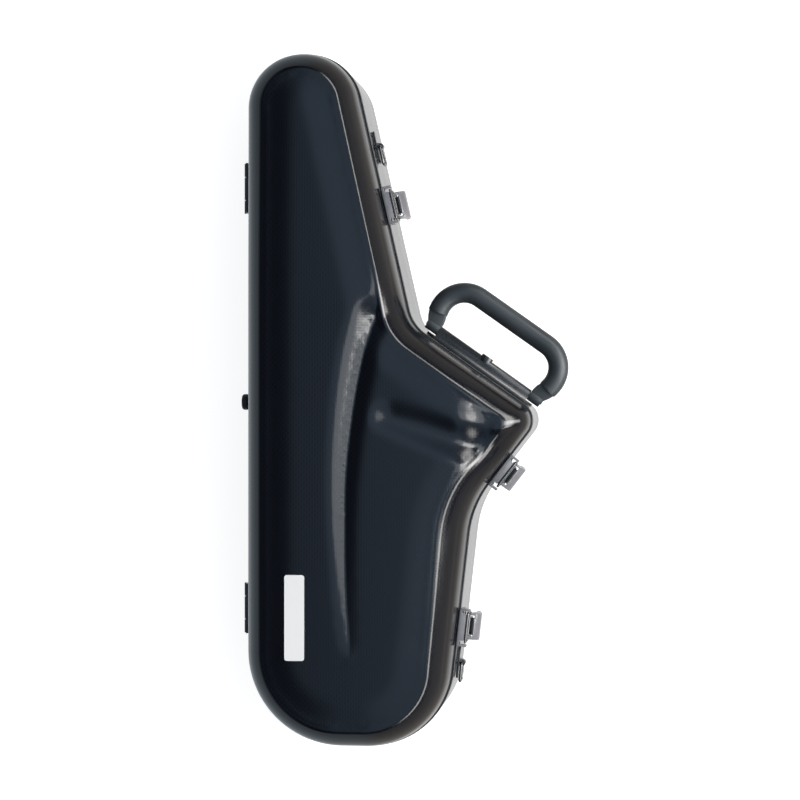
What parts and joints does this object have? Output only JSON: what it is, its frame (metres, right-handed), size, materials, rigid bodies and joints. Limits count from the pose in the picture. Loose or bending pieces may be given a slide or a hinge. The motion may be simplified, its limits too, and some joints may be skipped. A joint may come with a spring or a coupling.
{
  "type": "alto saxophone case",
  "caption": "Contoured hard case for an alto saxophone: hinged lid, draw latches, folding handle, strap rings and fitted foam liners.",
  "frame": {"origin": "middle of the flat back face that the case lies on", "axes": "+Z toward the lid, +Y to the neck end, +X to the bell corner and handle side, hinges on the -X side"},
  "size_m": [0.3089, 0.6516, 0.1753],
  "materials": {
    "shell": "woven, clear coated",
    "rim": "satin",
    "rubber": "matte",
    "plate": "satin",
    "liner": "plush over foam",
    "hardware": "satin",
    "steel": "dark plated",
    "grip": "smooth"
  },
  "bodies": {
    "base": {"base_shell": "shell", "base_rim": "rim", "seam_gasket": "rubber", "base_liner": "liner", "side_foot": "rubber", "handle_bracket": "hardware", "handle_rod": "steel", "strap_lug_1": "hardware", "strap_lug_2": "hardware", "hinge_1_base_leaf": "hardware", "hinge_1_pin": "steel", "hinge_2_base_leaf": "hardware", "hinge_2_pin": "steel", "latch_1_bracket": "hardware", "latch_1_pin": "steel", "latch_2_bracket": "hardware", "latch_2_pin": "steel", "latch_3_bracket": "hardware", "latch_3_pin": "steel"},
    "lid": {"lid_shell": "shell", "lid_rim": "rim", "lid_liner": "liner", "badge_plate": "plate", "hinge_1_lid_leaf": "hardware", "hinge_2_lid_leaf": "hardware", "latch_1_keeper": "hardware", "latch_2_keeper": "hardware", "latch_3_keeper": "hardware"},
    "handle": {"handle_frame": "steel", "handle_grip": "grip"},
    "lever_1": {"latch_1_lever": "hardware"},
    "bail_1": {"latch_1_bail": "steel"},
    "lever_2": {"latch_2_lever": "hardware"},
    "bail_2": {"latch_2_bail": "steel"},
    "lever_3": {"latch_3_lever": "hardware"},
    "bail_3": {"latch_3_bail": "steel"},
    "ring_1": {"strap_ring_1": "steel"},
    "ring_2": {"strap_ring_2": "steel"}
  },
  "joints": [
    {"name": "lid_hinge", "type": "hinge", "parent": "base", "child": "lid", "pos_m": [-0.1362, 0, 0.112], "axis": [0, -1, 0], "range_deg": [0, 110]},
    {"name": "handle_fold", "type": "hinge", "parent": "base", "child": "handle", "pos_m": [0.08672, 0.03515, 0.088], "axis": [0.8158, -0.5784, 0], "range_deg": [-75, 75]},
    {"name": "latch_1_lever_turn", "type": "hinge", "parent": "base", "child": "lever_1", "pos_m": [0.00397, 0.18263, 0.1], "axis": [0.2224, -0.975, 0], "range_deg": [0, 120]},
    {"name": "latch_1_bail_turn", "type": "hinge", "parent": "lever_1", "child": "bail_1", "pos_m": [0.00349, 0.18252, 0.093], "axis": [0.2224, -0.975, 0], "range_deg": [-137, 0]},
    {"name": "latch_2_lever_turn", "type": "hinge", "parent": "base", "child": "lever_2", "pos_m": [0.11009, -0.07, 0.1], "axis": [-0.6118, -0.791, 0], "range_deg": [0, 120]},
    {"name": "latch_2_bail_turn", "type": "hinge", "parent": "lever_2", "child": "bail_2", "pos_m": [0.10969, -0.06969, 0.093], "axis": [-0.6118, -0.791, 0], "range_deg": [-137, 0]},
    {"name": "latch_3_lever_turn", "type": "hinge", "parent": "base", "child": "lever_3", "pos_m": [0.07283, -0.2128, 0.1], "axis": [-0.1126, -0.9936, 0], "range_deg": [0, 120]},
    {"name": "latch_3_bail_turn", "type": "hinge", "parent": "lever_3", "child": "bail_3", "pos_m": [0.07233, -0.21274, 0.093], "axis": [-0.1126, -0.9936, 0], "range_deg": [-137, 0]},
    {"name": "strap_ring_1_swing", "type": "hinge", "parent": "base", "child": "ring_1", "pos_m": [-0.01257, 0.24032, 0.082], "axis": [0, 0, 1], "range_deg": [0, 165]},
    {"name": "strap_ring_2_swing", "type": "hinge", "parent": "base", "child": "ring_2", "pos_m": [0.06545, -0.24862, 0.082], "axis": [0, 0, 1], "range_deg": [0, 165]}
  ],
  "couplings": [
    {"joint": "latch_1_bail_turn", "follows": "latch_1_lever_turn", "ratio": -1.14},
    {"joint": "latch_2_bail_turn", "follows": "latch_2_lever_turn", "ratio": -1.14},
    {"joint": "latch_3_bail_turn", "follows": "latch_3_lever_turn", "ratio": -1.14}
  ]
}
